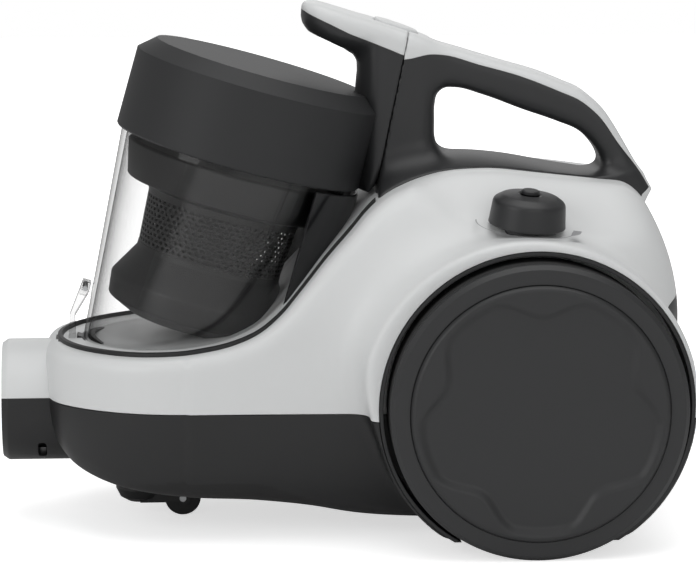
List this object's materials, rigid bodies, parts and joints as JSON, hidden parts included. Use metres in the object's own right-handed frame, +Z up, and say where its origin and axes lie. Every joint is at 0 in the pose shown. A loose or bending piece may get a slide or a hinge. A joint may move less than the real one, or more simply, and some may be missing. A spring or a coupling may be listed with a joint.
{
  "type": "canister vacuum cleaner",
  "caption": "Bagless canister vacuum cleaner with a lift-out clear dust bin, carrying handle, large rear wheels and a swivelling front caster.",
  "frame": {"origin": "on the floor under the middle of the bounding box", "axes": "+X to the rear, -X the hose inlet, +Y the side with the rewind button, +Z up"},
  "size_m": [0.394, 0.268, 0.301],
  "materials": {
    "light_casing": "satin light grey",
    "dark_casing": "satin charcoal",
    "wheel_plastic": "satin dark grey",
    "tread": "matt",
    "clear_plastic": "clear",
    "screen_plastic": "satin",
    "inner_plastic": "matt",
    "steel": "bright",
    "winding": "lacquered",
    "board": "satin",
    "filter_media": "matt",
    "seal_rubber": "matt",
    "knob_plastic": "satin"
  },
  "bodies": {
    "housing": {"upper_casing": "light_casing", "lower_casing": "dark_casing", "wheel_arch_left": "dark_casing", "wheel_arch_right": "dark_casing", "hose_socket": "dark_casing", "inlet_duct": "inner_plastic", "bin_cradle": "dark_casing", "handle_frame": "dark_casing", "handle_cover": "light_casing", "axle_left": "steel", "axle_right": "steel", "retainer_left": "steel", "retainer_right": "steel", "chassis": "inner_plastic", "chassis_screws": "steel", "motor_housing": "inner_plastic", "stator": "winding", "fan_cover": "inner_plastic", "reel_spindle": "steel", "control_board": "board", "rear_grille": "dark_casing", "exhaust_filter": "filter_media", "cord_outlet": "dark_casing", "knob_switch": "inner_plastic", "rewind_guide": "inner_plastic", "rewind_bezel": "dark_casing"},
    "left_wheel": {"wheel_left": "wheel_plastic", "tyre_left": "tread", "hub_cap_left": "wheel_plastic"},
    "right_wheel": {"wheel_right": "wheel_plastic", "tyre_right": "tread", "hub_cap_right": "wheel_plastic"},
    "caster": {"caster_fork": "dark_casing", "caster_pin": "steel", "caster_axle": "steel"},
    "caster_roller": {"caster_wheel": "dark_casing"},
    "knob": {"power_knob": "knob_plastic"},
    "switch": {"power_button": "knob_plastic"},
    "rewind": {"rewind_button": "knob_plastic"},
    "fan": {"rotor": "steel"},
    "reel": {"cord_reel": "inner_plastic"},
    "bin": {"bin_cup": "clear_plastic", "flap_pin": "steel", "latch_pin": "steel", "lid_gasket": "seal_rubber"},
    "flap": {"base_flap": "dark_casing", "flap_seal": "seal_rubber"},
    "latch": {"flap_latch": "clear_plastic"},
    "lid": {"bin_lid": "dark_casing", "shroud": "screen_plastic", "cyclone_cone": "screen_plastic", "filter_frame": "inner_plastic", "foam_filter": "filter_media", "bin_handle": "dark_casing", "bin_handle_cover": "light_casing"},
    "release": {"release_button": "light_casing"}
  },
  "joints": [
    {"name": "wheel_left_spin", "type": "hinge", "parent": "housing", "child": "left_wheel", "pos_m": [0.1025, -0.1155, 0.083], "axis": [0, 1, 0], "continuous": true},
    {"name": "wheel_right_spin", "type": "hinge", "parent": "housing", "child": "right_wheel", "pos_m": [0.1025, 0.1155, 0.083], "axis": [0, 1, 0], "continuous": true},
    {"name": "caster_swivel", "type": "hinge", "parent": "housing", "child": "caster", "pos_m": [-0.118, 0, 0.02], "axis": [0, 0, 1], "continuous": true},
    {"name": "caster_spin", "type": "hinge", "parent": "caster", "child": "caster_roller", "pos_m": [-0.093, 0, 0.0105], "axis": [0, 1, 0], "continuous": true},
    {"name": "power_knob_turn", "type": "hinge", "parent": "housing", "child": "knob", "pos_m": [0.0995, -0.08, 0.1805], "axis": [0.0867, -0.1045, 0.9907], "range_deg": [-120, 120]},
    {"name": "power_button_press", "type": "slide", "parent": "knob", "child": "switch", "axis": [-0.0867, 0.1045, -0.9907], "range_m": [0, 0.0015], "stiffness_N_per_m": 300, "springref_m": -0.0008},
    {"name": "rewind_button_press", "type": "slide", "parent": "housing", "child": "rewind", "axis": [-0.0867, -0.1045, -0.9907], "range_m": [0, 0.003], "stiffness_N_per_m": 500, "springref_m": -0.001},
    {"name": "fan_spin", "type": "hinge", "parent": "housing", "child": "fan", "pos_m": [0.1025, -0.02, 0.098], "axis": [0, 1, 0], "continuous": true},
    {"name": "cord_reel_spin", "type": "hinge", "parent": "housing", "child": "reel", "pos_m": [0.1025, 0.037, 0.098], "axis": [0, 1, 0], "continuous": true},
    {"name": "bin_lift", "type": "slide", "parent": "housing", "child": "bin", "axis": [0.2028, 0, 0.9792], "range_m": [0, 0.2]},
    {"name": "base_flap_hinge", "type": "hinge", "parent": "bin", "child": "flap", "pos_m": [-0.03197, 0, 0.07371], "axis": [0, -1, 0], "range_deg": [0, 80.5]},
    {"name": "flap_latch_hinge", "type": "hinge", "parent": "bin", "child": "latch", "pos_m": [-0.14853, 0, 0.13566], "axis": [0, 1, 0], "range_deg": [0, 8], "stiffness_Nm_per_rad": 0.05, "springref_deg": -8.59},
    {"name": "lid_lift", "type": "slide", "parent": "bin", "child": "lid", "axis": [0.2028, 0, 0.9792], "range_m": [0, 0.06]},
    {"name": "release_button_press", "type": "slide", "parent": "lid", "child": "release", "axis": [-0.2588, 0, -0.9659], "range_m": [0, 0.0015], "stiffness_N_per_m": 400, "springref_m": -0.001}
  ],
  "couplings": [
    {"joint": "base_flap_hinge", "follows": "bin_lift", "rad_per_m": 7}
  ]
}
